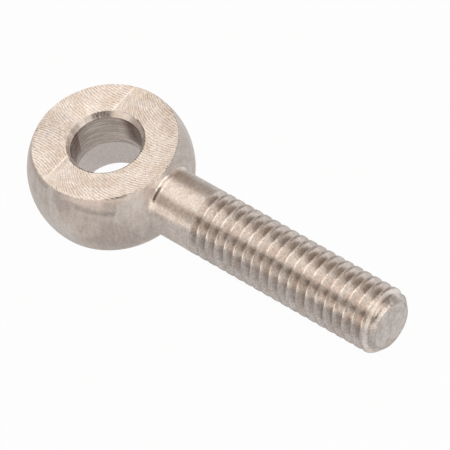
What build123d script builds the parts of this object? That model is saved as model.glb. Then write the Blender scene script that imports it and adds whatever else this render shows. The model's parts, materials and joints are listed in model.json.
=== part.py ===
from build123d import *
import os
from math import radians, sqrt, tan

# Rod end of the eye bolt kind: a ball with two flats and a cross bore, on a short neck and a threaded shank.
# It is turned from one bar, so it is one solid.
# The origin is the centre of the bore. +Z runs along the bore and +X along the shank to its free end.

# Head, mm
ball_diameter = 14.66
head_width = 7.04
rim_break = 0.06

# Cross bore, mm: countersunk from above, its lower edge only broken
bore_diameter = 6.27
countersink_diameter = 6.90
countersink_depth = 0.53
lower_edge_break = 0.20

# Shank, mm, its places given from the bore's centre
neck_diameter = 5.94
neck_fillet = 0.30
thread_start = 10.35
free_end = 31.14

# Coarse metric thread, M6 x 1: its crests bound the threaded length, which is plain here
thread_diameter = 5.99
crest_lead_in = 0.60
end_face_diameter = 4.50
end_chamfer_angle = 45

ball_radius = ball_diameter / 2
half_width = head_width / 2
bore_radius = bore_diameter / 2
neck_radius = neck_diameter / 2
crest_radius = thread_diameter / 2
end_face_radius = end_face_diameter / 2
end_chamfer_run = (crest_radius - end_face_radius) / tan(radians(end_chamfer_angle))


def make_head():
    """Ball between two flats with its bore: one section turned about the bore's axis."""
    rim_radius = sqrt(ball_radius**2 - half_width**2)
    outline = Polyline(
        (rim_radius, -half_width),
        (bore_radius + lower_edge_break, -half_width),
        (bore_radius, -half_width + lower_edge_break),
        (bore_radius, half_width - countersink_depth),
        (countersink_diameter / 2, half_width),
        (rim_radius, half_width),
    )
    crown = ThreePointArc((rim_radius, half_width), (ball_radius, 0), (rim_radius, -half_width))
    section = make_face([outline, crown])
    rims = section.vertices().group_by(Axis.X)[-1]
    section = chamfer(rims, rim_break)
    # The turned section starts opposite the shank, which keeps the ball's seam clear of the neck.
    opposite_shank = Plane((0, 0, 0), x_dir=(-1, 0, 0), z_dir=(0, 1, 0))
    return revolve(opposite_shank * section, Axis.Z)


def make_shank():
    """Neck, threaded length and end chamfer: one section turned about the shank's axis."""
    rooted = (bore_radius + ball_radius) / 2
    section = Polyline(
        (rooted, 0),
        (rooted, neck_radius),
        (thread_start, neck_radius),
        (thread_start + crest_lead_in, crest_radius),
        (free_end - end_chamfer_run, crest_radius),
        (free_end, end_face_radius),
        (free_end, 0),
        close=True,
    )
    return revolve(Plane.XZ * make_face(section), Axis.X)


def make_rod_end():
    """Head and shank in one, with a fillet where the neck leaves the ball."""
    blank = make_head() + make_shank()
    junction = sqrt(ball_radius**2 - neck_radius**2)
    ring = blank.edges().filter_by_position(Axis.X, junction - rim_break, junction + rim_break)
    return fillet(ring, neck_fillet)


if __name__ == "__main__":
    os.makedirs("parts", exist_ok=True)
    export_step(make_rod_end(), "parts/rod_end.step")
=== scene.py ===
"""A turned steel rod end: a ball head with two flats and a cross bore, on a neck and a threaded shank."""
import json
from math import cos, pi, radians, sin, sqrt, tan

import bmesh
import bpy
import numpy as np
from mathutils import Matrix, Vector


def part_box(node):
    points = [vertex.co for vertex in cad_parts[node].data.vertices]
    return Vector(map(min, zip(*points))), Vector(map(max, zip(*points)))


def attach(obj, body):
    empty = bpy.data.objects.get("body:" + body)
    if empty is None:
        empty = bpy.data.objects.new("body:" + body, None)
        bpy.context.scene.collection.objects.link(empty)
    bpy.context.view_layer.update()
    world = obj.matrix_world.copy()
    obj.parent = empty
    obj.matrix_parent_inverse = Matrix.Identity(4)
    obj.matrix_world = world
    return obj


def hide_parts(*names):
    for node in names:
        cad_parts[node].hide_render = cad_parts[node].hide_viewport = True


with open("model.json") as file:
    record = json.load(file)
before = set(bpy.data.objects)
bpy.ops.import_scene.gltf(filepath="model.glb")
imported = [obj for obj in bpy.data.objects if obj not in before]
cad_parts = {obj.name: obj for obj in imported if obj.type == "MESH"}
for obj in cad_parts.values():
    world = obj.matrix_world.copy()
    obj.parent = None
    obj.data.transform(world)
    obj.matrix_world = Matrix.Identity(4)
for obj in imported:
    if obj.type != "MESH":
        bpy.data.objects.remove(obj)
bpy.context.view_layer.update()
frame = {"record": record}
mm = 0.001

# The head.
# A ball turned on the end of a stainless steel bar, with a flat milled on each side and a bore drilled across
# them. The bore is countersunk from above, and the turning tool leaves a small fillet at the neck.
low, high = (np.array(corner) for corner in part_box("rod_end"))
mounts = {mount["name"]: mount for mount in frame["record"]["mounts"]}
ball_radius = -low[0]
half_width = high[2]
bore_radius = mounts["eye_bore"]["dims"]["r_mm"] * mm
countersink_radius = 3.45 * mm
countersink_depth = 0.53 * mm
lower_edge_break = 0.20 * mm
rim_break = 0.04 * mm
neck_radius = 2.97 * mm
neck_fillet = 0.30 * mm

# How many cells each surface has, in columns round it and in rows across it.
columns = 176
sector_columns = 44
ball_rows = 28
front_rows = 12
rim_rows = 5
fillet_rows = 6
shank_columns = 2 * (sector_columns + ball_rows)

# Longitude runs round the bore from the shank's axis, and latitude up from the middle of the ball.
sector_half = pi / 4
rim_latitude = np.arcsin(half_width / ball_radius) - rim_break / ball_radius
turns = np.linspace(0, 2 * pi, columns + 1)


def ring_grid(radii, heights):
    """Points of a surface turned about the bore: row i is a circle of radii[i] at heights[i]."""
    radii, heights = (np.asarray(values)[:, None] for values in (radii, heights))
    return np.stack([radii * np.cos(turns), radii * np.sin(turns), heights + 0 * turns], axis=2)


def on_ball(longitude, latitude):
    """Points of the ball. A point stands off the bore's axis by the ball's radius times the cosine of its
    latitude, in the direction of its longitude, and its height is the radius times the latitude's sine."""
    longitude, latitude = np.broadcast_arrays(longitude, latitude)
    from_axis = np.cos(latitude)
    directions = [from_axis * np.cos(longitude), from_axis * np.sin(longitude), np.sin(latitude)]
    return ball_radius * np.stack(directions, axis=-1)


def shank_rings(distances, radii):
    """Points of a surface turned about the shank: row i is a circle of radii[i] at distances[i] from the
    bore's axis."""
    around = np.linspace(0, 2 * pi, shank_columns + 1)
    distances, radii = (np.asarray(values)[:, None] for values in (distances, radii))
    return np.stack([distances + 0 * around, radii * np.cos(around), radii * np.sin(around)], axis=2)


# The rim between a flat and the ball is a curve with one handle, at the height of the flat. At a share of the
# way along it, the first end counts with the rest of the way squared, the handle with twice the share times
# the rest, and the last end with the share squared.
flat_edge = sqrt(ball_radius**2 - half_width**2) - rim_break
ball_edge = on_ball(0.0, rim_latitude)
rim_share = np.linspace(0, 1, rim_rows + 1)
rim_weights = np.stack([(1 - rim_share) ** 2, 2 * rim_share * (1 - rim_share), rim_share**2])
rim_radii = np.array([ball_edge[0], flat_edge + rim_break, flat_edge]) @ rim_weights
rim_heights = np.array([ball_edge[2], half_width, half_width]) @ rim_weights
upper_rim = ring_grid(rim_radii, rim_heights)
lower_rim = ring_grid(rim_radii[::-1], -rim_heights[::-1])
upper_flat = ring_grid([flat_edge, countersink_radius], [half_width, half_width])
lower_flat = ring_grid([bore_radius + lower_edge_break, flat_edge], [-half_width, -half_width])
countersink = ring_grid([countersink_radius, bore_radius], [half_width, half_width - countersink_depth])
bore_wall = ring_grid(
    [bore_radius, bore_radius, bore_radius + lower_edge_break],
    [half_width - countersink_depth, lower_edge_break - half_width, -half_width],
)

# The ball's band leaves a sector of 90 degrees round the shank, which ball_front fills down to the fillet.
band_longitude = np.linspace(sector_half, 2 * pi - sector_half, columns - sector_columns + 1)
band_latitude = np.linspace(-rim_latitude, rim_latitude, ball_rows + 1)
ball_band = on_ball(band_longitude[None, :], band_latitude[:, None])

# The fillet is an arc about a point that stands its own radius off both the ball and the neck.
fillet_centre = neck_radius + neck_fillet
fillet_place = sqrt((ball_radius + neck_fillet) ** 2 - fillet_centre**2)
start_angle = np.arctan2(-fillet_centre, -fillet_place)
arc = np.linspace(start_angle, -pi / 2, fillet_rows + 1)
fillet = shank_rings(fillet_place + neck_fillet * np.cos(arc), fillet_centre + neck_fillet * np.sin(arc))

# The sector's border runs once round from the middle of one side: up, across the top, down and back below.
# A point of ball_front is taken on a line from the fillet's edge to the border and pushed out onto the ball.
top = np.linspace(sector_half, -sector_half, sector_columns + 1)
half_side = ball_rows // 2
border_longitude = np.concatenate(
    [
        np.full(half_side, sector_half),
        top[:-1],
        np.full(ball_rows, -sector_half),
        -top[:-1],
        np.full(half_side + 1, sector_half),
    ]
)
border_latitude = np.concatenate(
    [
        band_latitude[half_side:-1],
        np.full(sector_columns, rim_latitude),
        -band_latitude[:-1],
        np.full(sector_columns, -rim_latitude),
        band_latitude[: half_side + 1],
    ]
)
border = on_ball(border_longitude, border_latitude)
shrink = ball_radius / (ball_radius + neck_fillet)
contact = shank_rings([fillet_place * shrink], [fillet_centre * shrink])
share = np.linspace(0, 1, front_rows + 1)[:, None, None]
ball_front = contact * (1 - share) + border * share
ball_front *= ball_radius / np.linalg.norm(ball_front, axis=2, keepdims=True)

# The head's finishes are worked out with these node helpers, which the shank's finishes use too.


def feed(tree, socket, value):
    """Gives a socket a number, vector or colour, or links it to another node's output."""
    if isinstance(value, bpy.types.NodeSocket):
        tree.links.new(value, socket)
    else:
        socket.default_value = value


def worked(tree, operation, *values):
    """The result of one sum on numbers, or on vectors if the operation's name starts with VECTOR_."""
    kind = "ShaderNodeVectorMath" if operation.startswith("VECTOR_") else "ShaderNodeMath"
    step = tree.nodes.new(kind)
    step.operation = operation.removeprefix("VECTOR_")
    for socket, value in zip(step.inputs, values):
        feed(tree, socket, value)
    return step.outputs[1 if operation == "VECTOR_LENGTH" else 0]


def product(tree, first, second):
    """Two values multiplied."""
    return worked(tree, "MULTIPLY", first, second)


def summed(tree, *terms):
    """The sum of values, each times its own weight."""
    total = 0.0
    for value, weight in terms:
        total = worked(tree, "MULTIPLY_ADD", value, weight, total)
    return total


def eased(tree, value, low, high, to_low=0.0, to_high=1.0):
    """A value taken from one range to another, held inside it and flat at both ends."""
    step = tree.nodes.new("ShaderNodeMapRange")
    step.interpolation_type = "SMOOTHSTEP"
    for socket, number in zip(step.inputs, (value, low, high, to_low, to_high)):
        feed(tree, socket, number)
    return step.outputs[0]


def noise(tree, place, detail, roughness=0.6):
    """Noise with spots about one unit of its place across. It mostly lies between 0.3 and 0.7."""
    grain = tree.nodes.new("ShaderNodeTexNoise")
    grain.inputs["Scale"].default_value = 1.0
    grain.inputs["Detail"].default_value = detail
    grain.inputs["Roughness"].default_value = roughness
    feed(tree, grain.inputs["Vector"], place)
    return grain.outputs[0]


def swing(tree, value, low=0.3, high=0.7):
    """Noise spread out to lie between -1 and 1."""
    return eased(tree, value, low, high, -1.0, 1.0)


def split(tree, place):
    """The three parts of a vector."""
    step = tree.nodes.new("ShaderNodeSeparateXYZ")
    feed(tree, step.inputs[0], place)
    return step.outputs


def joined(tree, *parts):
    """A vector made of up to three parts."""
    step = tree.nodes.new("ShaderNodeCombineXYZ")
    for socket, value in zip(step.inputs, parts):
        feed(tree, socket, value)
    return step.outputs[0]


def effect(name, inputs, outputs):
    """An empty node group with named inputs, each with its first value, and named outputs.
    Gives the group, what its inputs put out and what its outputs take in."""
    tree = bpy.data.node_groups.new(name, "ShaderNodeTree")
    for title, value in inputs.items():
        count = len(value) if isinstance(value, tuple) else 1
        kind = {1: "NodeSocketFloat", 3: "NodeSocketVector", 4: "NodeSocketColor"}[count]
        tree.interface.new_socket(title, in_out="INPUT", socket_type=kind).default_value = value
    for title, kind in outputs.items():
        tree.interface.new_socket(title, in_out="OUTPUT", socket_type=kind)
    return tree, tree.nodes.new("NodeGroupInput").outputs, tree.nodes.new("NodeGroupOutput").inputs


def placed(tree, group, inputs):
    """A node group in a material, with its inputs by name. Gives its outputs."""
    step = tree.nodes.new("ShaderNodeGroup")
    step.node_tree = group
    for title, value in inputs.items():
        feed(tree, step.inputs[title], value)
    return step.outputs


# Grain: streaks along the tool's path, fine speckle from the pickling bath, and broad patches.
# Places and sizes in the materials are in mm, and bearings in degrees.
steel_grain, taken, given = effect(
    "steel_grain",
    {"Place": (0.0, 0.0, 0.0), "Stretch": (6.0, 0.6, 0.6), "Speckle Size": 0.14, "Patch Size": 2.4},
    {"Streaks": "NodeSocketFloat", "Speckle": "NodeSocketFloat", "Patches": "NodeSocketFloat"},
)
drawn_out = worked(steel_grain, "VECTOR_MULTIPLY", taken["Place"], taken["Stretch"])
feed(steel_grain, given["Streaks"], swing(steel_grain, noise(steel_grain, drawn_out, 3.0)))
speckled = worked(steel_grain, "VECTOR_DIVIDE", taken["Place"], taken["Speckle Size"])
feed(steel_grain, given["Speckle"], swing(steel_grain, noise(steel_grain, speckled, 2.0), 0.32, 0.68))
patched = worked(steel_grain, "VECTOR_DIVIDE", taken["Place"], taken["Patch Size"])
feed(steel_grain, given["Patches"], eased(steel_grain, noise(steel_grain, patched, 3.0), 0.4, 0.62))

# Tone: the steel's colour, stained in patches, and made lighter or darker by the marks. In some finishes the
# patches and the second colour carry painted light and shade, and so do the marks.
steel_tone, taken, given = effect(
    "steel_tone",
    {"Steel": (0.66, 0.60, 0.56, 1.0), "Stain And Painted Light": (0.60, 0.52, 0.47, 1.0), "Patches": 0.0, "Marks": 0.0},
    {"Color": "NodeSocketColor"},
)
stained = steel_tone.nodes.new("ShaderNodeMix")
stained.data_type = "RGBA"
feed(steel_tone, stained.inputs[0], taken["Patches"])
feed(steel_tone, stained.inputs[6], taken["Steel"])
feed(steel_tone, stained.inputs[7], taken["Stain And Painted Light"])
lightness = worked(steel_tone, "ADD", taken["Marks"], 1.0)
feed(steel_tone, given["Color"], worked(steel_tone, "VECTOR_MULTIPLY", stained.outputs[2], lightness))

# Arcs: the curved marks of a face cutter that moves along Y. At x, an arc of the cutter's radius lies below
# the cutter's centre by the root of the radius squared less the distance to the centre squared, or above it
# for side -1.
cutter_arcs, taken, given = effect(
    "cutter_arcs",
    {"Place": (0.0, 0.0, 0.0), "Centre": 3.6, "Radius": 5.4, "Feed": 0.25, "Side": 1.0},
    {"Marks": "NodeSocketFloat"},
)
across, along, _ = split(cutter_arcs, taken["Place"])
offset = worked(cutter_arcs, "SUBTRACT", across, taken["Centre"])
radius_squared = product(cutter_arcs, taken["Radius"], taken["Radius"])
left_over = worked(cutter_arcs, "SUBTRACT", radius_squared, product(cutter_arcs, offset, offset))
drop = worked(cutter_arcs, "SQRT", worked(cutter_arcs, "MAXIMUM", left_over, 0.0))
travel = worked(cutter_arcs, "MULTIPLY_ADD", drop, taken["Side"], along)
waver = noise(cutter_arcs, taken["Place"], 2.0)
steps = worked(cutter_arcs, "MULTIPLY_ADD", waver, 0.9, worked(cutter_arcs, "DIVIDE", travel, taken["Feed"]))
ripple = worked(cutter_arcs, "SINE", product(cutter_arcs, steps, 2 * pi))
ripple = eased(cutter_arcs, ripple, -1.0, 0.4, -1.5, 0.7)
dashes = joined(cutter_arcs, product(cutter_arcs, steps, 1.7), product(cutter_arcs, across, 2.4))
scratches = eased(cutter_arcs, noise(cutter_arcs, dashes, 2.0, 0.7), 0.3, 0.7, -0.68, 0.68)
shrunk = worked(cutter_arcs, "VECTOR_MULTIPLY", taken["Place"], (1.3, 1.3, 1.3))
depth = eased(cutter_arcs, noise(cutter_arcs, shrunk, 1.0), 0.35, 0.6, 0.26, 0.66)
feed(cutter_arcs, given["Marks"], worked(cutter_arcs, "MULTIPLY_ADD", ripple, depth, scratches))

# Line: 1 on a scored line at a given distance, down to 0 at its width from there.
scored_line, taken, given = effect(
    "scored_line", {"Distance": 0.0, "At": 0.0, "Width": 0.1}, {"Mask": "NodeSocketFloat"}
)
gap = worked(scored_line, "ABSOLUTE", worked(scored_line, "SUBTRACT", taken["Distance"], taken["At"]))
feed(scored_line, given["Mask"], eased(scored_line, gap, taken["Width"], 0.0))

# Band: 1 between two values, down to 0 over a softness beyond each.
soft_band, taken, given = effect(
    "soft_band", {"Value": 0.0, "From": 0.0, "To": 1.0, "Softness": 0.1}, {"Mask": "NodeSocketFloat"}
)
before = worked(soft_band, "SUBTRACT", taken["From"], taken["Softness"])
after = worked(soft_band, "ADD", taken["To"], taken["Softness"])
begun = eased(soft_band, taken["Value"], before, taken["From"])
not_over = eased(soft_band, taken["Value"], after, taken["To"])
feed(soft_band, given["Mask"], product(soft_band, begun, not_over))

# Bearing: degrees from the first direction to the second and on round, from 0 to 360.
bearing_of, taken, given = effect("bearing_of", {"First": 1.0, "Second": 0.0}, {"Degrees": "NodeSocketFloat"})
opposite = [product(bearing_of, taken[title], -1.0) for title in ("Second", "First")]
turned = worked(bearing_of, "ARCTAN2", *opposite)
feed(bearing_of, given["Degrees"], worked(bearing_of, "MULTIPLY_ADD", turned, 180 / pi, 180.0))

# Spot: 1 inside a ragged round spot of a given size about a centre, down to 0 outside it.
soft_spot, taken, given = effect(
    "soft_spot",
    {"Place": (0.0, 0.0, 0.0), "Centre": (0.0, 0.0, 0.0), "Size": 2.0, "Raggedness": 0.6},
    {"Mask": "NodeSocketFloat"},
)
from_centre = worked(soft_spot, "VECTOR_SUBTRACT", taken["Place"], taken["Centre"])
apart = worked(soft_spot, "DIVIDE", worked(soft_spot, "VECTOR_LENGTH", from_centre), taken["Size"])
ragged = swing(soft_spot, noise(soft_spot, taken["Place"], 3.0))
apart = worked(soft_spot, "MULTIPLY_ADD", ragged, product(soft_spot, taken["Raggedness"], 0.5), apart)
feed(soft_spot, given["Mask"], eased(soft_spot, apart, 1.2, 0.4))


def bright_steel(name, roughness, spread, axis):
    """A steel material whose reflections spread across its tool marks. The marks run round an axis through
    the origin, so their direction is the cross product of the axis and the place, and the reflection is
    turned a quarter from it. Gives the material's nodes, its shader and the place in mm."""
    steel = bpy.data.materials.new(name)
    steel.use_nodes = True
    tree = steel.node_tree
    shader = tree.nodes["Principled BSDF"]
    shader.inputs["Metallic"].default_value = 1.0
    shader.inputs["Roughness"].default_value = roughness
    shader.inputs["Anisotropic"].default_value = spread
    shader.inputs["Anisotropic Rotation"].default_value = 0.25
    coordinates = tree.nodes.new("ShaderNodeTexCoord")
    place = worked(tree, "VECTOR_MULTIPLY", coordinates.outputs["Object"], (1000.0, 1000.0, 1000.0))
    feed(tree, shader.inputs["Tangent"], worked(tree, "VECTOR_CROSS_PRODUCT", axis, place))
    finishes.append(steel)
    return tree, shader, place


def dressed(tree, shader, marks, height, patches, steel, stain_and_shade_colour):
    """Joins marks and painted light to a steel material's colour, and their height in mm to its normal."""
    tone = placed(tree, steel_tone, {"Steel": steel, "Stain And Painted Light": stain_and_shade_colour, "Patches": patches, "Marks": marks})
    feed(tree, shader.inputs["Base Color"], tone["Color"])
    bump = tree.nodes.new("ShaderNodeBump")
    bump.inputs["Distance"].default_value = mm
    feed(tree, bump.inputs["Height"], height)
    feed(tree, shader.inputs["Normal"], bump.outputs[0])


def grained(tree, place, stretch, patch_size, speckle_size=0.14):
    """The steel's streaks, speckle and patches, by name."""
    sizes = {"Stretch": stretch, "Patch Size": patch_size, "Speckle Size": speckle_size}
    return placed(tree, steel_grain, {"Place": place, **sizes})


def bearing_round(tree, first, second):
    """Degrees round an axis, from the first direction towards the second."""
    return placed(tree, bearing_of, {"First": first, "Second": second})["Degrees"]


def scored(tree, distance, at, width):
    """The mask of a line that is scored where a distance has one value."""
    return placed(tree, scored_line, {"Distance": distance, "At": at, "Width": width})["Mask"]


def spot(tree, place, centre, size):
    """The mask of a ragged round spot."""
    return placed(tree, soft_spot, {"Place": place, "Centre": centre, "Size": size})["Mask"]


def banded(tree, value, start, end, softness):
    """The mask of a band of values."""
    return placed(tree, soft_band, {"Value": value, "From": start, "To": end, "Softness": softness})["Mask"]


def toned(tree, value, *bands):
    """The sum of the tones of bands of values. A band has its start, its end, its softness and its tone."""
    return summed(tree, *((banded(tree, value, *band[:3]), band[3]) for band in bands))


finishes = []

# Finish 0: the milled flats. Two passes of a face cutter met on a straight line beside the bore, a low ridge
# that is also painted lighter as a highlight. Painted shade darkens the edge round the bore's mouth and the
# rim on some sides, and a band inside the rim on one side, and a few spots are darker or lighter.
tree, shader, place = bright_steel("milled_flat", 0.30, 0.3, (0, 0, 1))
across, along, _ = split(tree, place)
pass_line = -1.75
right_pass = placed(tree, cutter_arcs, {"Place": place, "Centre": 3.6, "Radius": 5.4})["Marks"]
upper_left = placed(tree, cutter_arcs, {"Place": place, "Centre": -2.95, "Radius": 6.1})["Marks"]
lower_left = placed(tree, cutter_arcs, {"Place": place, "Centre": -4.1, "Radius": 5.1, "Side": -1.0})["Marks"]
left_pass = eased(tree, along, -1.0, 0.0, lower_left, upper_left)
arcs = eased(tree, across, pass_line - 0.05, pass_line + 0.05, left_pass, right_pass)
# Painted highlight on the low ridge where the two passes met.
line = product(tree, scored(tree, across, pass_line, 0.15), eased(tree, along, -5.6, -4.6, 0.4, 1.0))
grain = grained(tree, place, (3.0, 3.0, 3.0), 1.8)
from_bore = worked(tree, "VECTOR_LENGTH", joined(tree, across, along))
bearing = bearing_round(tree, across, along)
from_left = worked(tree, "MODULO", worked(tree, "ADD", bearing, 180.0), 360.0)
# Painted shade round the edge of the bore's mouth, darker on some sides than others.
mouth_edge = banded(tree, from_bore, 3.40, countersink_radius / mm + 0.05, 0.07)
mouth_edge_shade = toned(
    tree,
    from_left,
    (69.0, 113.0, 5.0, -0.78),
    (119.0, 153.0, 4.0, -0.42),
    (158.0, 256.0, 6.0, -0.64),
    (262.0, 290.0, 5.0, -0.20),
)
# Painted shade along the rim on some bearings.
at_rim = eased(tree, from_bore, 6.31, 6.38)
rim_shade = toned(
    tree,
    bearing,
    (318.0, 325.0, 5.0, -0.36),
    (311.0, 354.0, 5.0, -0.23),
    (6.0, 40.0, 5.0, -0.12),
)
# Painted shade in a band inside the rim on one side.
near_rim_shade = product(tree, eased(tree, from_bore, 6.0, 6.3), banded(tree, bearing, 196.0, 218.0, 6.0))
marks = summed(
    tree,
    (arcs, 0.24),
    (grain["Speckle"], 0.11),
    (line, 0.30),
    (spot(tree, place, (-5.2, -1.3, 3.5), 2.2), -0.11),
    (spot(tree, place, (-2.6, 4.6, 3.5), 2.6), 0.07),
    (spot(tree, place, (-1.2, 5.9, 3.5), 0.9), 0.15),
    (spot(tree, place, (-3.8, 1.5, 3.5), 0.9), 0.14),
    (product(tree, mouth_edge, mouth_edge_shade), 1.0),
    (product(tree, at_rim, rim_shade), 1.0),
    (near_rim_shade, -0.13),
)
height = summed(tree, (arcs, 0.0030), (grain["Speckle"], 0.0010), (line, 0.004))
dressed(tree, shader, marks, height, grain["Patches"], (0.718, 0.663, 0.633, 1), (0.640, 0.560, 0.505, 1))

# Finish 1: the bore. The drill left rings in its upper half, and a reamer from below smoothed the lower half.
# Painted shade darkens and browns the upper half on two sides, and a painted shadow lies just under the
# countersink.
tree, shader, place = bright_steel("bored_wall", 0.25, 0.6, (0, 0, 1))
across, along, level = split(tree, place)
bearing = bearing_round(tree, across, along)
grain = grained(tree, place, (0.45, 0.45, 6.0), 2.4, 0.2)
drilled = eased(tree, level, -0.46, -0.38)
edge = scored(tree, level, -0.36, 0.08)
# Painted shade on two sides of the upper half, mixed towards a browner colour.
painted_shade_in_bore = toned(tree, bearing, (50.0, 86.0, 24.0, 0.58), (187.0, 222.0, 4.0, 0.34), (180.0, 230.0, 22.0, 0.12))
painted_shade_in_bore = product(tree, painted_shade_in_bore, eased(tree, level, 0.0, 0.7))
drilled_colour_with_shade = placed(
    tree,
    steel_tone,
    {"Steel": (0.62, 0.545, 0.49, 1), "Stain And Painted Light": (0.445, 0.32, 0.265, 1), "Patches": product(tree, painted_shade_in_bore, 1.7)},
)["Color"]
# Painted shadow just under the countersink's edge.
mouth_level = (half_width - countersink_depth) / mm
mouth = eased(tree, level, mouth_level - 0.16, mouth_level)
rings = product(tree, grain["Streaks"], eased(tree, drilled, 0.0, 1.0, 0.15, 1.0))
marks = summed(
    tree,
    (rings, 0.24),
    (edge, -0.14),
    (mouth, -0.3),
    (grain["Speckle"], 0.06),
    (painted_shade_in_bore, -0.88),
    (drilled, -0.07),
)
height = summed(tree, (rings, 0.002), (edge, -0.004))
feed(tree, shader.inputs["Roughness"], eased(tree, drilled, 0.0, 1.0, 0.14, 0.19))
dressed(tree, shader, marks, height, drilled, (0.745, 0.672, 0.645, 1), drilled_colour_with_shade)

# Finish 2: the countersink, with the short cross marks of a tool that chattered and bit in at one place.
# Painted light and shade run round it by bearing, and painted shade lies along part of its outer edge.
tree, shader, place = bright_steel("countersink_cone", 0.5, 0.5, (0, 0, 1))
across, along, level = split(tree, place)
flat_level = half_width / mm
bearing = bearing_round(tree, across, along)
chatter = joined(tree, product(tree, bearing, 0.55), 0.0, product(tree, level, 2.4))
# Painted shade along the outer edge on one side.
outer_edge_shade = scored(tree, level, flat_level - 0.03, 0.09)
outer_edge_shade = product(tree, outer_edge_shade, banded(tree, bearing, 0.0, 88.0, 8.0))
grain = grained(tree, place, (0.5, 0.5, 7.0), 1.3)
below_flat = eased(tree, level, flat_level + 0.02, flat_level - 0.05)
bitten = product(tree, banded(tree, bearing, 126.0, 146.0, 8.0), below_flat)
chattered = swing(tree, noise(tree, chatter, 2.0))
chattered = product(tree, chattered, eased(tree, bitten, 0.0, 1.0, 0.30, 1.0))
# Painted light and shade round the cone, by bearing.
cone_light_and_shade = toned(
    tree,
    bearing,
    (0.0, 40.0, 14.0, -0.34),
    (58.0, 70.0, 4.0, 0.12),
    (92.0, 114.0, 6.0, 0.25),
    (130.0, 143.0, 6.0, -0.12),
    (149.0, 162.0, 4.0, -0.21),
    (177.0, 191.0, 3.0, -0.2),
    (196.0, 216.0, 4.0, 0.2),
)
marks = summed(
    tree, (chattered, 0.26), (grain["Streaks"], 0.08), (bitten, -0.48), (outer_edge_shade, -0.2), (cone_light_and_shade, 1.0)
)
height = summed(tree, (chattered, 0.002), (grain["Streaks"], 0.001))
dressed(tree, shader, marks, height, grain["Patches"], (0.82, 0.76, 0.73, 1), (0.70, 0.63, 0.59, 1))

# Finish 3: the turned ball, with a few dark burrs where the cutter broke out at the rims, and a faint pressed
# mark below the upper rim, shown in colour only as a line of painted shade with painted light above it,
# darker at both of its ends. It has some darker and lighter spots, painted shade low beside the shank and
# along part of the upper rim, and painted light and shade in a band below that rim.
tree, shader, place = bright_steel("turned_ball", 0.31, 0.82, (1, 0, 0))
across, along, level = split(tree, place)
bearing = bearing_round(tree, across, along)
grain = grained(tree, place, (4.5, 0.5, 0.5), 2.6)
under_rim = scored(tree, worked(tree, "ABSOLUTE", level), flat_level - 0.09, 0.08)
along_rim = joined(tree, product(tree, bearing, 0.07), 0.0, level)
burrs = product(tree, under_rim, eased(tree, noise(tree, along_rim, 2.0), 0.55, 0.62))
# Painted shade along the upper rim on some bearings.
top_edge = eased(tree, level, flat_level - 0.16, flat_level - 0.10)
top_rim_shade = toned(tree, bearing, (316.0, 324.0, 6.0, -0.30), (309.0, 332.0, 5.0, -0.14))
# Painted light and shade in a band below the upper rim.
below_rim = banded(tree, level, 3.08, 3.34, 0.10)
below_rim_light_and_shade = toned(tree, bearing, (222.0, 258.0, 6.0, -0.15), (279.0, 303.0, 7.0, 0.13))
# Painted shade low on the ball beside the shank, also mixed towards the darker colour.
low_painted_shade = spot(tree, place, (4.6, -5.5, -1.1), 3.1)
# The pressed mark is shown in colour only: a line of painted shade, with painted light above it.
slanted = worked(tree, "MULTIPLY_ADD", across, 0.208, level)
pressed = product(tree, banded(tree, across, 2.2, 4.2, 1.2), eased(tree, along, -3.0, -4.0))
press_shade_line = product(tree, pressed, scored(tree, slanted, 3.12, 0.44))
press_highlight = product(tree, pressed, eased(tree, slanted, 3.30, 3.50))
marks = summed(
    tree,
    (grain["Streaks"], 0.07),
    (grain["Speckle"], 0.09),
    (burrs, -0.35),
    (low_painted_shade, -0.19),
    (press_shade_line, -0.23),
    (press_highlight, 0.12),
    (spot(tree, place, (4.5, -5.1, 2.7), 0.9), -0.18),
    (spot(tree, place, (0.8, -6.8, 2.6), 1.0), -0.17),
    (spot(tree, place, (-1.6, -6.5, 2.6), 2.2), -0.10),
    (spot(tree, place, (6.0, 3.8, 2.2), 2.2), -0.09),
    (spot(tree, place, (6.4, -3.3, 1.2), 1.9), 0.09),
    (product(tree, top_edge, top_rim_shade), 1.0),
    (product(tree, below_rim, below_rim_light_and_shade), 1.0),
)
height = summed(tree, (grain["Streaks"], 0.0008), (grain["Speckle"], 0.0012))
patches = worked(tree, "MAXIMUM", grain["Patches"], worked(tree, "MAXIMUM", low_painted_shade, pressed))
dressed(tree, shader, marks, height, patches, (0.68, 0.63, 0.60, 1), (0.635, 0.55, 0.503, 1))

# The threaded shank.
# A coarse metric thread, 6 mm across with a pitch of 1 mm, cut on the same bar from the neck to the free end.
# Its groove winds in to full depth over less than half a turn at the neck, and a chamfer at 45 degrees cuts
# it off at the end. The crests are wide and flat.
pitch = 1.0 * mm
crest_radius = mounts["shank_thread"]["dims"]["r_mm"] * mm
free_end = high[0]
neck_end = 10.35 * mm
crest_lead_in = 0.60 * mm
first_crest = 10.785 * mm
first_turn, last_turn = -2, 22
winds_in_before = 0.40
winds_in_over = 0.42
crest_half = 0.125 * mm
flank_angle = radians(30)
flank_foot = 0.455 * mm
flank_rows = 5
root_rows = 3
root_arc = (pitch / 2 - flank_foot) / cos(flank_angle)
end_face_radius = 2.25 * mm
neck_rows = 39
ring_offset = 1.25 * mm
ring_width = 0.07 * mm
ring_depth = 0.012 * mm


def thread_outline():
    """Half a pitch of thread, from the edge of a crest to the middle of a groove, as distances along and
    radii: a straight flank at 30 degrees to the radius and an arc along the groove's bottom."""
    flank = np.linspace(crest_half, flank_foot, flank_rows + 1)
    flank_radii = crest_radius - (flank - crest_half) / tan(flank_angle)
    root_angles = np.linspace(flank_angle - pi, -pi / 2, root_rows + 1)[1:]
    root = pitch / 2 + root_arc * np.cos(root_angles)
    root_radii = flank_radii[-1] + root_arc * (sin(flank_angle) + np.sin(root_angles))
    return np.concatenate([flank, root]), np.concatenate([flank_radii, root_radii])


outline_distances, outline_radii = thread_outline()


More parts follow.
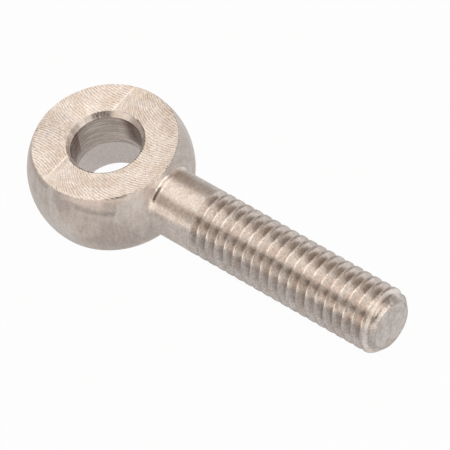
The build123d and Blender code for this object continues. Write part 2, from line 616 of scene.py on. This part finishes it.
def thread_radius(distance, angle):
    """Radius of the threaded bar at a distance along and an angle round the shank.
    The thread's outline is read at the distance to the nearest crest, which moves on by one pitch a turn.
    Its depth grows from nothing, 0.40 of a turn before the first crest, to the whole, 0.02 of a turn after
    it, as three times the share squared less twice the share cubed."""
    turns_along = (distance - first_crest) / pitch - angle / (2 * pi)
    from_crest = pitch * np.abs((turns_along + 0.5) % 1 - 0.5)
    radius = np.interp(from_crest, outline_distances, outline_radii)
    groove_turn = np.floor(turns_along) + angle / (2 * pi)
    share = np.clip((groove_turn + winds_in_before) / winds_in_over, 0, 1)
    return crest_radius - (crest_radius - radius) * share**2 * (3 - 2 * share)


def outer_radius(distance):
    """Radius that the crests reach: a short rise from the neck, the crest cylinder and the end chamfer.
    The rise is half a cosine wave, so it has no edges."""
    risen = np.clip((distance - neck_end) / crest_lead_in, 0, 1)
    lead_in = neck_radius + (crest_radius - neck_radius) * (1 - np.cos(pi * risen)) / 2
    chamfer = end_face_radius + free_end - distance
    return np.minimum(np.minimum(lead_in, chamfer), crest_radius)


def snapped(distance, inner, outer):
    """Moves the nearer point of each step in which two surfaces cross, down a column, onto their crossing.
    The crossing divides the step as the gaps between the surfaces at its two ends are to each other."""
    gap = inner - outer
    crossing = gap[:-1] * gap[1:] < 0
    part = np.where(crossing, gap[:-1] / np.where(crossing, gap[:-1] - gap[1:], 1), 0)
    place = distance[:-1] + part * (distance[1:] - distance[:-1])
    moved = distance.copy()
    first = crossing & (part <= 0.5)
    second = crossing & (part > 0.5)
    moved[:-1][first] = place[first]
    moved[1:][second] = place[second]
    return moved


# The thread's grid: a row follows the helix at one place of the outline, and a column runs along the shank.
# Points that would pass either end are held at it, and are joined with the rest when the mesh is welded.
around = np.linspace(0, 2 * pi, shank_columns + 1)
half_pitch = np.concatenate([-outline_distances[::-1], outline_distances[:-1]])
rows = (np.arange(first_turn, last_turn)[:, None] * pitch + half_pitch).ravel()
distance = first_crest + rows[:, None] + pitch * around[None, :] / (2 * pi)
distance = np.clip(distance, neck_end, free_end)
angle = np.broadcast_to(around, distance.shape)
distance = snapped(distance, thread_radius(distance, angle), outer_radius(distance))
radius = np.minimum(thread_radius(distance, angle), outer_radius(distance))
thread = np.stack([distance, radius * np.cos(angle), radius * np.sin(angle)], axis=2)

# The end face shrinks the thread's last row to a point. The neck is a cylinder with one shallow scored ring,
# whose depth falls off to both sides as a bell curve.
end_rings = np.array([1.0, 0.75, 0.4, 0.0])[:, None, None]
end_face = thread[-1] * np.array([0, 1, 1]) * end_rings + np.array([free_end, 0, 0])
neck_places = np.linspace(fillet_place, neck_end, neck_rows + 1)
ring_place = fillet_place + ring_offset
ring_dip = ring_depth * np.exp(-(((neck_places - ring_place) / ring_width) ** 2))
neck = shank_rings(neck_places, neck_radius - ring_dip)


def quads(row_count, column_count):
    """Corner numbers of every cell of a grid, in order round the cell."""
    corner = np.arange((row_count - 1) * column_count).reshape(row_count - 1, column_count)[:, :-1]
    around_cell = [corner, corner + 1, corner + column_count + 1, corner + column_count]
    return np.stack(around_cell, axis=2).reshape(-1, 4)


def welded(name, grids):
    """One mesh object of several grids, each a pair of points and material number, with the points that
    meet joined. Edges sharper than 28 degrees stay sharp."""
    points, faces, numbers, count = [], [], [], 0
    for grid, number in grids:
        cells = quads(*grid.shape[:2]) + count
        points.append(grid.reshape(-1, 3))
        faces.append(cells)
        numbers.append(np.full(len(cells), number))
        count += grid.shape[0] * grid.shape[1]
    mesh = bpy.data.meshes.new(name)
    mesh.from_pydata(np.concatenate(points), [], np.concatenate(faces).tolist())
    mesh.polygons.foreach_set("material_index", np.concatenate(numbers).astype(np.int32))
    cells = bmesh.new()
    cells.from_mesh(mesh)
    bmesh.ops.remove_doubles(cells, verts=cells.verts, dist=0.0002 * mm)
    bmesh.ops.recalc_face_normals(cells, faces=cells.faces)
    cells.to_mesh(mesh)
    cells.free()
    mesh.polygons.foreach_set("use_smooth", np.ones(len(mesh.polygons), bool))
    mesh.set_sharp_from_angle(angle=radians(28))
    piece = bpy.data.objects.new(name, mesh)
    bpy.context.scene.collection.objects.link(piece)
    return piece


# Finish 4: the turned neck, speckled, with a scored ring near the ball. Where it meets the fillet, light and
# shade are painted: a short dark reflection in the fillet, highlights on the fillet and just past it, a lit
# band beside them, shade along part of the fillet and light on it on another side. Painted light and shade
# also run round the neck by bearing.
tree, shader, place = bright_steel("turned_neck", 0.37, 0.9, (1, 0, 0))
grain = grained(tree, place, (5.0, 0.8, 0.8), 1.6, 0.17)
reach_along, level_out, level_up = split(tree, place)
round_shank = bearing_round(tree, level_out, level_up)
ring = scored(tree, reach_along, ring_place / mm, 0.09)
near_ball = banded(tree, reach_along, 6.82, 7.00, 0.06)
past_fillet = banded(tree, reach_along, 6.92, 7.12, 0.06)
beside_fillet = banded(tree, reach_along, 7.09, 7.24, 0.06)
on_fillet = eased(tree, reach_along, 6.90, 6.84)
up_to_fillet = eased(tree, reach_along, 7.04, 6.92)
# Painted light and shade where the neck meets the fillet: a dark reflection, highlights, a lit band and
# shade.
fillet_dark_reflection = product(tree, near_ball, banded(tree, round_shank, 109.0, 130.0, 8.0))
fillet_highlight = product(tree, near_ball, banded(tree, round_shank, 138.0, 151.0, 4.0))
fillet_edge_highlight = product(tree, past_fillet, banded(tree, round_shank, 82.0, 107.0, 6.0))
lit_band_beside_fillet = product(tree, beside_fillet, banded(tree, round_shank, 80.0, 148.0, 6.0))
shaded_fillet = product(tree, on_fillet, banded(tree, round_shank, 90.0, 132.0, 16.0))
lit_fillet = product(tree, up_to_fillet, banded(tree, round_shank, 38.0, 68.0, 10.0))
# Painted light and shade round the neck, by bearing.
neck_light_and_shade = toned(
    tree,
    round_shank,
    (50.0, 62.0, 5.0, -0.07),
    (132.0, 138.0, 3.0, 0.12),
    (144.0, 149.0, 3.0, 0.09),
)
marks = summed(
    tree,
    (grain["Streaks"], 0.06),
    (grain["Speckle"], 0.13),
    (ring, -0.08),
    (fillet_dark_reflection, -0.66),
    (fillet_highlight, 0.24),
    (fillet_edge_highlight, 0.14),
    (lit_band_beside_fillet, 0.22),
    (shaded_fillet, -0.07),
    (lit_fillet, 0.36),
    (neck_light_and_shade, 1.0),
)
height = summed(tree, (grain["Streaks"], 0.0006), (grain["Speckle"], 0.0018))
dressed(tree, shader, marks, height, grain["Patches"], (0.675, 0.62, 0.585, 1), (0.63, 0.56, 0.515, 1))

# Finish 5: the thread. Each crest has a painted highlight along its edge nearer the head, on the bearings
# where light falls, and the last flank, which the chamfer cuts, is painted lighter. Bands of painted light
# and shade run along the shank.
tree, shader, place = bright_steel("cut_thread", 0.34, 0.93, (1, 0, 0))
reach_along, level_out, level_up = split(tree, place)
round_shank = bearing_round(tree, level_out, level_up)
radius_out = worked(tree, "VECTOR_LENGTH", joined(tree, 0.0, level_out, level_up))
from_first = worked(tree, "SUBTRACT", reach_along, first_crest / mm)
wound = worked(tree, "SUBTRACT", from_first, worked(tree, "DIVIDE", round_shank, 360.0))
turn_share = worked(tree, "FRACT", wound)
crest = crest_radius / mm

# The bands of painted light and shade cross the grooves as slabs that stand in the direction of 118 degrees
# round the shank. A slab is named by the bearing round the shank at which it leaves the crests on their upper
# side.
slab_bearing = 118.0
slab_out, slab_up = cos(radians(slab_bearing)), sin(radians(slab_bearing))
slab = summed(tree, (level_up, slab_out / crest), (level_out, -slab_up / crest))
slab = worked(tree, "ARCSINE", worked(tree, "MAXIMUM", worked(tree, "MINIMUM", slab, 1.0), -1.0))
slab = worked(tree, "MULTIPLY_ADD", slab, 180 / pi, slab_bearing)
upper_side = eased(tree, summed(tree, (level_out, slab_out), (level_up, slab_up)), -0.4, 0.4)

# The parts of the thread are told apart by their radius.
on_crest = product(tree, eased(tree, radius_out, crest - 0.03, crest - 0.01), eased(tree, wound, 0.6, 0.7))
# Painted highlights along the crests' edges nearer the head, on the bearings where light falls.
lit = toned(tree, round_shank, (66.0, 78.0, 5.0, 0.5), (98.0, 111.0, 6.0, 0.66), (131.0, 142.0, 5.0, 0.68))
crest_highlight = product(tree, on_crest, banded(tree, turn_share, 0.84, 0.915, 0.03))
crest_highlight = product(tree, crest_highlight, lit)
groove = eased(tree, radius_out, neck_radius / mm - 0.005, neck_radius / mm - 0.035)
high_flank = product(tree, groove, eased(tree, radius_out, 2.84, 2.90))
middle_flank = banded(tree, radius_out, 2.75, 2.85, 0.03)
low_flank = eased(tree, radius_out, 2.76, 2.72)
both_flanks = eased(tree, radius_out, 2.92, 2.86)
deep = eased(tree, radius_out, 2.60, 2.54)
deeper = eased(tree, radius_out, 2.53, 2.45)
middle_turns = product(tree, groove, banded(tree, reach_along, 20.0, 24.0, 1.0))
later_turns = product(tree, groove, banded(tree, reach_along, 25.2, 29.5, 1.0))

# Each row is painted light, or painted shade where its tone is below 0. A row has the part of the thread that
# it colours, the slabs where its tone starts and ends, the degrees that it fades over, and the tone.
slab_light_and_shade = [
    (product(tree, part, banded(tree, slab, *band)), tone)
    for part, *band, tone in (
        (groove, 44.0, 56.0, 5.0, 0.12),
        (groove, 174.0, 191.0, 4.0, 0.10),
        (high_flank, 60.0, 75.0, 10.0, 0.46),
        (middle_flank, 60.0, 67.0, 5.0, 0.38),
        (middle_flank, 72.0, 83.0, 4.0, 0.10),
        (low_flank, 60.0, 64.0, 5.0, 0.24),
        (low_flank, 67.0, 76.0, 4.0, -0.07),
        (deep, 56.0, 63.0, 4.0, 0.06),
        (deep, 100.0, 110.0, 8.0, 0.04),
        (deep, 159.0, 170.0, 4.0, -0.13),
        (deeper, 100.0, 110.0, 8.0, 0.30),
        (both_flanks, 120.5, 127.0, 3.0, -0.09),
        (both_flanks, 121.0, 124.0, 2.0, -0.04),
        (both_flanks, 145.0, 160.0, 5.0, -0.02),
        (both_flanks, 148.5, 151.5, 4.0, -0.08),
        (on_crest, 67.0, 78.0, 4.0, 0.12),
        (middle_turns, 117.0, 124.0, 3.0, -0.08),
        (later_turns, 129.0, 139.0, 3.0, 0.15),
    )
]
# The painted light and shade of the grooves, on their upper side only.
tones = product(tree, summed(tree, *slab_light_and_shade), upper_side)
# Painted light on the last flank.
lit_last_flank = product(tree, groove, banded(tree, wound, 19.19, 19.32, 0.05))
lit_last_flank = product(tree, lit_last_flank, eased(tree, round_shank, 152.0, 134.0, 0.4, 1.0))

# The chamfer is where the distance along and the radius add up to the same as at the end face's edge.
# Rings of painted light and shade lie on it, each at its own radius and on some bearings only, and painted
# shade darkens it on one side. A row has a ring's radius and width, the bearings where it starts and ends,
# its fade in degrees and its tone.
end_sum = (end_face_radius + free_end) / mm
chamfered = eased(tree, worked(tree, "ADD", reach_along, radius_out), end_sum - 0.03, end_sum - 0.01)
# Painted shade on the chamfer on one side.
shaded_chamfer_side = product(tree, chamfered, banded(tree, round_shank, 80.0, 116.0, 7.0))
chamfer_ring_light_and_shade = [
    (product(tree, scored(tree, radius_out, at, width), banded(tree, round_shank, *band)), tone)
    for at, width, *band, tone in (
        (2.30, 0.07, 40.0, 64.0, 5.0, -0.14),
        (2.30, 0.07, 128.0, 200.0, 5.0, -0.14),
        (2.36, 0.20, 74.0, 84.0, 5.0, 0.62),
        (2.36, 0.20, 115.0, 121.0, 4.0, 0.62),
        (2.44, 0.07, 148.0, 184.0, 6.0, -0.16),
        (2.60, 0.08, 140.0, 172.0, 6.0, -0.18),
        (2.60, 0.45, 12.0, 40.0, 6.0, -0.22),
        (2.62, 0.22, 119.5, 128.0, 5.0, -0.30),
        (2.84, 0.16, 150.0, 200.0, 8.0, -0.12),
    )
]
chamfer_light_and_shade = product(tree, summed(tree, *chamfer_ring_light_and_shade), chamfered)
# The crests' painted highlight turns the steel towards a paler colour.
crest_colour_with_highlight = placed(
    tree,
    steel_tone,
    {"Steel": (0.672, 0.626, 0.600, 1), "Stain And Painted Light": (0.70, 0.675, 0.66, 1), "Patches": crest_highlight},
)["Color"]
grain = grained(tree, place, (7.0, 0.9, 0.9), 1.2, 0.16)
marks = summed(
    tree,
    (grain["Streaks"], 0.07),
    (grain["Speckle"], 0.17),
    (on_crest, -0.16),
    (crest_highlight, 1.0),
    (tones, 1.0),
    (lit_last_flank, 0.42),
    (shaded_chamfer_side, -0.50),
    (chamfer_light_and_shade, 1.0),
)
height = summed(tree, (grain["Streaks"], 0.0006), (grain["Speckle"], 0.0016))
dressed(tree, shader, marks, height, grain["Patches"], crest_colour_with_highlight, (0.62, 0.553, 0.512, 1))

# Finish 6: the faced end, with faint rings, a few stains and a darker line just inside its edge.
tree, shader, place = bright_steel("faced_end", 0.38, 0.3, (1, 0, 0))
_, level_out, level_up = split(tree, place)
radius_out = worked(tree, "VECTOR_LENGTH", joined(tree, 0.0, level_out, level_up))
ringed = swing(tree, noise(tree, joined(tree, product(tree, radius_out, 4.5)), 3.0))
edge = scored(tree, radius_out, end_face_radius / mm - 0.09, 0.08)
grain = grained(tree, place, (1.0, 1.0, 1.0), 0.9, 0.2)
marks = summed(tree, (ringed, 0.09), (grain["Speckle"], 0.08), (edge, -0.20), (grain["Patches"], -0.06))
height = summed(tree, (ringed, 0.0012), (grain["Speckle"], 0.0008), (edge, -0.003))
dressed(tree, shader, marks, height, grain["Patches"], (0.68, 0.64, 0.62, 1), (0.60, 0.54, 0.51, 1))

# Head and shank are one bar, so their grids are one mesh. The number beside each grid is its finish.
rod_end = welded(
    "rod_end_steel",
    [
        (upper_flat, 0),
        (lower_flat, 0),
        (bore_wall, 1),
        (countersink, 2),
        (upper_rim, 0),
        (lower_rim, 0),
        (ball_band, 3),
        (ball_front, 3),
        (fillet, 4),
        (neck, 4),
        (thread, 5),
        (end_face, 6),
    ],
)
for finish in finishes:
    rod_end.data.materials.append(finish)
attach(rod_end, "root")
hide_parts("rod_end")

# The floor.
# A sheet of plain white paper that the part lies on. The camera sees it as white, with a trace of the part's
# own shadow, and half of what the steel mirrors of it is white too.
reach = 2.0
seen_by_camera = 0.97
seen_by_steel = 0.5
corners = [(-reach, -reach, low[2]), (reach, -reach, low[2]), (reach, reach, low[2]), (-reach, reach, low[2])]
floor_mesh = bpy.data.meshes.new("floor")
floor_mesh.from_pydata(corners, [], [(0, 1, 2, 3)])
floor = bpy.data.objects.new("floor", floor_mesh)
bpy.context.scene.collection.objects.link(floor)
paper = bpy.data.materials.new("white_sheet")
paper.use_nodes = True
tree = paper.node_tree
sheet = tree.nodes["Principled BSDF"]
sheet.inputs["Base Color"].default_value = (0.45, 0.45, 0.45, 1)
sheet.inputs["Roughness"].default_value = 0.9
glow = tree.nodes.new("ShaderNodeEmission")
glow.inputs["Strength"].default_value = 1.0
ray = tree.nodes.new("ShaderNodeLightPath").outputs
glowing = summed(tree, (ray["Is Camera Ray"], seen_by_camera), (ray["Is Glossy Ray"], seen_by_steel))
blend = tree.nodes.new("ShaderNodeMixShader")
for socket, source in zip(blend.inputs, (glowing, sheet.outputs[0], glow.outputs[0])):
    tree.links.new(source, socket)
tree.links.new(blend.outputs[0], tree.nodes["Material Output"].inputs["Surface"])
floor_mesh.materials.append(paper)

# The studio.
# Three soft panels round the part in a plain warm room: a tall one behind the head, a low strip along the
# side of the shank that faces the camera, and a small bright one high over the free end.
panel_distance = 0.6


def soft_panel(name, azimuth, elevation, turn, width, height, colour, strength):
    """A flat lamp that faces the origin from an azimuth and elevation, turned about its own axis. Its width
    and height are given per metre of distance, and its power is pi times its face's brightness and area."""
    azimuth, elevation, turn = radians(azimuth), radians(elevation), radians(turn)
    outward = Vector((cos(elevation) * cos(azimuth), cos(elevation) * sin(azimuth), sin(elevation)))
    level = Vector((-sin(azimuth), cos(azimuth), 0))
    across = cos(turn) * level + sin(turn) * outward.cross(level)
    upward = outward.cross(across)
    lamp = bpy.data.lights.new(name, "AREA")
    lamp.shape = "RECTANGLE"
    lamp.size, lamp.size_y = width * panel_distance, height * panel_distance
    lamp.energy = strength * pi * lamp.size * lamp.size_y
    lamp.color = colour
    holder = bpy.data.objects.new(name, lamp)
    holder.matrix_world = Matrix([(*row, 0) for row in zip(across, upward, outward)] + [(0, 0, 0, 1)])
    holder.location = outward * panel_distance
    holder.visible_camera = False
    bpy.context.scene.collection.objects.link(holder)


soft_panel("tall_panel", 166.0, 44.3, 80.1, 2.72, 1.02, (1.0, 0.97, 0.91), 0.70)
soft_panel("low_strip", 290.6, 20.2, 1.6, 3.2, 0.42, (1.0, 0.99, 0.94), 0.8)
soft_panel("end_panel", 13.6, 47.6, 173.8, 0.9, 0.34, (1.0, 0.97, 0.92), 5.6)

# The room is a little darker on the side of +Y.
world = bpy.data.worlds.new("room")
bpy.context.scene.world = world
world.use_nodes = True
nodes, links = world.node_tree.nodes, world.node_tree.links
nodes["Background"].inputs["Color"].default_value = (1.0, 0.88, 0.77, 1)
direction = nodes.new("ShaderNodeTexCoord")
parts = nodes.new("ShaderNodeSeparateXYZ")
dimmed = nodes.new("ShaderNodeMapRange")
for socket, value in (("From Min", -0.3), ("From Max", 1.0), ("To Min", 0.64), ("To Max", 0.50)):
    dimmed.inputs[socket].default_value = value
links.new(direction.outputs["Generated"], parts.inputs[0])
links.new(parts.outputs["Y"], dimmed.inputs["Value"])
links.new(dimmed.outputs[0], nodes["Background"].inputs["Strength"])

# The camera.
# It looks down on the part from beside the free end, from as far off as the photograph's perspective shows.
azimuth, elevation, roll = radians(49.06977), radians(50.97989), radians(-12.34814)
camera_distance = 0.466715
moved_right, moved_down = 0.0098694, 0.0050342
back = Vector((sin(azimuth) * cos(elevation), -cos(azimuth) * cos(elevation), sin(elevation)))
right = Vector((cos(azimuth), sin(azimuth), 0))
up = back.cross(right)
right, up = cos(roll) * right + sin(roll) * up, cos(roll) * up - sin(roll) * right
lens = bpy.data.cameras.new("camera")
lens.sensor_width = 36
lens.lens = 430.117
lens.clip_end = 10
camera = bpy.data.objects.new("camera", lens)
camera.matrix_world = Matrix([(*row, 0) for row in zip(right, up, back)] + [(0, 0, 0, 1)])
camera.location = back * camera_distance + right * moved_right - up * moved_down
bpy.context.scene.collection.objects.link(camera)
bpy.context.scene.camera = camera
bpy.context.scene.view_settings.view_transform = "Standard"
